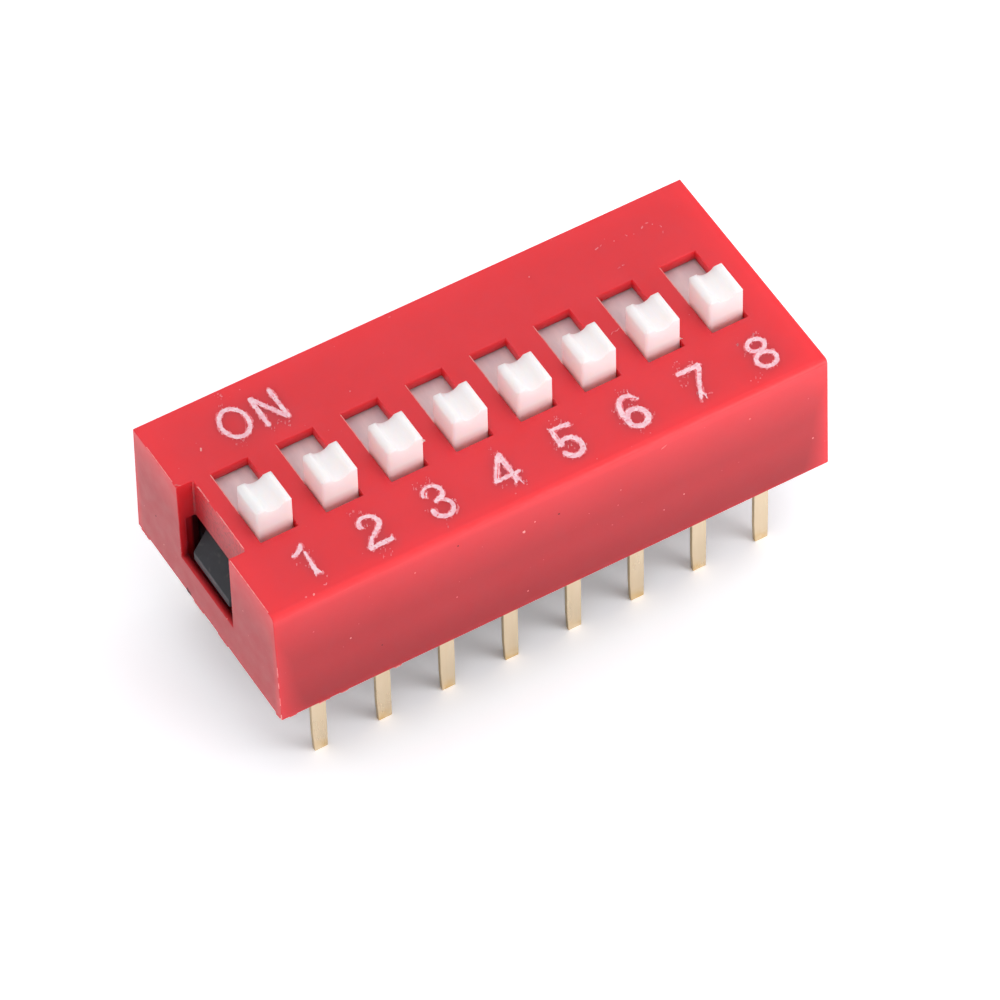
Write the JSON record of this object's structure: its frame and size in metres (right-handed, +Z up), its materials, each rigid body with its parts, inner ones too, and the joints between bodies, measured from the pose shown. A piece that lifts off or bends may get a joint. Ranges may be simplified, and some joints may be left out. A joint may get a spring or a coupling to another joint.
{
  "type": "dip switch",
  "caption": "Through-hole slide switch block: red clip-on cover over a black base, white sliders in a row of slots, and gold pins along both long sides for a board.",
  "frame": {"origin": "centre of the seating plane, where the base's rail rests on the board, midway between the pin rows", "axes": "+X along the row of positions from the first to the last, +Y towards the ON side, +Z up from the board"},
  "size_m": [0.0218, 0.01, 0.0107],
  "materials": {
    "red_cover": "satin moulded red",
    "black_base": "matt moulded black",
    "white_slider": "satin moulded white, slightly translucent",
    "gold_terminal": "thin gold plating, stamped",
    "print_ink": "worn pale print",
    "contact_strip": "gold-plated spring strip"
  },
  "bodies": {
    "housing": {"cover": "red_cover", "base": "black_base", "front_terminal_1": "gold_terminal", "front_terminal_2": "gold_terminal", "front_terminal_3": "gold_terminal", "front_terminal_4": "gold_terminal", "front_terminal_5": "gold_terminal", "front_terminal_6": "gold_terminal", "front_terminal_7": "gold_terminal", "front_terminal_8": "gold_terminal", "rear_terminal_1": "gold_terminal", "rear_terminal_2": "gold_terminal", "rear_terminal_3": "gold_terminal", "rear_terminal_4": "gold_terminal", "rear_terminal_5": "gold_terminal", "rear_terminal_6": "gold_terminal", "rear_terminal_7": "gold_terminal", "rear_terminal_8": "gold_terminal"},
    "slide_1": {"slider_1": "white_slider", "contact_1": "contact_strip"},
    "slide_2": {"slider_2": "white_slider", "contact_2": "contact_strip"},
    "slide_3": {"slider_3": "white_slider", "contact_3": "contact_strip"},
    "slide_4": {"slider_4": "white_slider", "contact_4": "contact_strip"},
    "slide_5": {"slider_5": "white_slider", "contact_5": "contact_strip"},
    "slide_6": {"slider_6": "white_slider", "contact_6": "contact_strip"},
    "slide_7": {"slider_7": "white_slider", "contact_7": "contact_strip"},
    "slide_8": {"slider_8": "white_slider", "contact_8": "contact_strip"}
  },
  "joints": [
    {"name": "slide_1_travel", "type": "slide", "parent": "housing", "child": "slide_1", "axis": [0, 1, 0], "range_m": [0, 0.0016]},
    {"name": "slide_2_travel", "type": "slide", "parent": "housing", "child": "slide_2", "axis": [0, 1, 0], "range_m": [0, 0.0016]},
    {"name": "slide_3_travel", "type": "slide", "parent": "housing", "child": "slide_3", "axis": [0, 1, 0], "range_m": [0, 0.0016]},
    {"name": "slide_4_travel", "type": "slide", "parent": "housing", "child": "slide_4", "axis": [0, 1, 0], "range_m": [0, 0.0016]},
    {"name": "slide_5_travel", "type": "slide", "parent": "housing", "child": "slide_5", "axis": [0, 1, 0], "range_m": [0, 0.0016]},
    {"name": "slide_6_travel", "type": "slide", "parent": "housing", "child": "slide_6", "axis": [0, 1, 0], "range_m": [0, 0.0016]},
    {"name": "slide_7_travel", "type": "slide", "parent": "housing", "child": "slide_7", "axis": [0, 1, 0], "range_m": [0, 0.0016]},
    {"name": "slide_8_travel", "type": "slide", "parent": "housing", "child": "slide_8", "axis": [0, 1, 0], "range_m": [0, 0.0016]}
  ]
}
